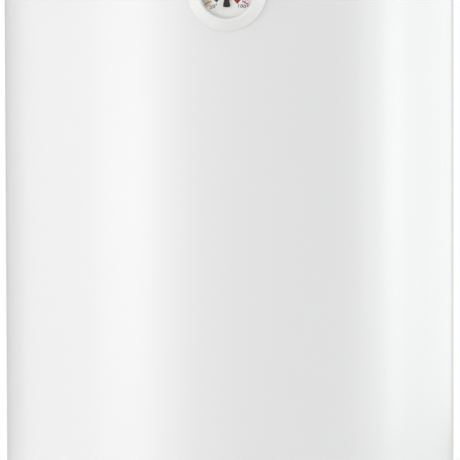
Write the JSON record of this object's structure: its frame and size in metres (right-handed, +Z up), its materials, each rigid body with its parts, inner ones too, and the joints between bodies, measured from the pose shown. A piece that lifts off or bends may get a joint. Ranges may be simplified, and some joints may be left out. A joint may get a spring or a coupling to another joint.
{
  "type": "tank water heater",
  "caption": "White wall-hung electric storage water heater: insulated upright cylinder with dished caps, a round front thermometer and pipes, knob and cable entry below.",
  "frame": {"origin": "centre of the upper hanging bracket's back face, which lies on the wall", "axes": "+Z up, +X right and -Y the front as the heater hangs; the wall is the plane y = 0"},
  "size_m": [0.4536, 0.483, 0.7599],
  "materials": {
    "white_enamel": "gloss",
    "white_cap_plastic": "satin",
    "white_gauge_plastic": "satin",
    "zinc_steel": "satin",
    "insulation_foam": "matte",
    "glazed_tank_steel": "satin",
    "blue_plastic": "satin",
    "red_plastic": "satin",
    "brown_wire": "satin",
    "green_wire": "satin",
    "stainless_steel": "satin",
    "black_rubber": "matte",
    "copper": "satin",
    "magnesium": "matte",
    "grey_plastic": "matte",
    "black_plastic": "satin",
    "brass": "satin",
    "amber_lens": "gloss",
    "printed_dial": "matte",
    "needle_lacquer": "matte",
    "clear_lens": "gloss"
  },
  "bodies": {
    "root": {"outer_jacket": "white_enamel", "top_cap": "white_cap_plastic", "bottom_cap": "white_cap_plastic", "service_cover": "white_cap_plastic", "cover_screw_1": "zinc_steel", "cover_screw_2": "zinc_steel", "cover_screw_3": "zinc_steel", "foam_fill_plug": "white_cap_plastic", "insulation_foam": "insulation_foam", "tank_cylinder": "glazed_tank_steel", "tank_top_dome": "glazed_tank_steel", "tank_bottom_dome": "glazed_tank_steel", "cold_inlet_nipple": "zinc_steel", "hot_outlet_nipple": "zinc_steel", "cold_inlet_collar": "blue_plastic", "hot_outlet_collar": "red_plastic", "inlet_diffuser": "white_gauge_plastic", "outlet_dip_tube": "stainless_steel", "flange_neck": "glazed_tank_steel", "flange_gasket": "black_rubber", "flange_plate": "zinc_steel", "flange_nut_1": "zinc_steel", "flange_nut_2": "zinc_steel", "flange_nut_3": "zinc_steel", "flange_nut_4": "zinc_steel", "flange_nut_5": "zinc_steel", "heating_element": "copper", "sensor_well": "stainless_steel", "anode_rod": "magnesium", "anode_nut": "zinc_steel", "thermostat_case": "grey_plastic", "thermostat_sensor_rod": "copper", "reset_spring": "stainless_steel", "terminal_block": "black_plastic", "indicator_lamp": "amber_lens", "lamp_lead_1": "blue_plastic", "lamp_lead_2": "brown_wire", "element_lead_1": "blue_plastic", "element_lead_2": "brown_wire", "earth_lead": "green_wire", "cable_gland": "grey_plastic", "gland_locknut": "grey_plastic", "upper_bracket": "zinc_steel", "lower_bracket": "zinc_steel", "bracket_bolt_1": "zinc_steel", "bracket_bolt_2": "zinc_steel", "bracket_bolt_3": "zinc_steel", "bracket_bolt_4": "zinc_steel", "thermometer_bezel": "white_gauge_plastic", "thermometer_cup": "brass", "thermometer_dial": "printed_dial", "thermometer_lens": "clear_lens", "bimetal_coil": "copper"},
    "needle": {"thermometer_needle": "needle_lacquer", "needle_pivot": "brass"},
    "knob": {"temperature_knob": "white_gauge_plastic", "temperature_spindle": "brass"},
    "button": {"reset_button": "red_plastic"}
  },
  "joints": [
    {"name": "needle_turn", "type": "hinge", "parent": "root", "child": "needle", "pos_m": [0, -0.47, 0.026], "axis": [0, 1, 0], "range_deg": [-120, 120]},
    {"name": "knob_turn", "type": "hinge", "parent": "root", "child": "knob", "pos_m": [0, -0.281, -0.59], "axis": [0, 0, 1], "range_deg": [-135, 135]},
    {"name": "reset_press", "type": "slide", "parent": "root", "child": "button", "axis": [0, 0, 1], "range_m": [0, 0.0015], "stiffness_N_per_m": 400, "deforming": ["reset_spring"]}
  ]
}
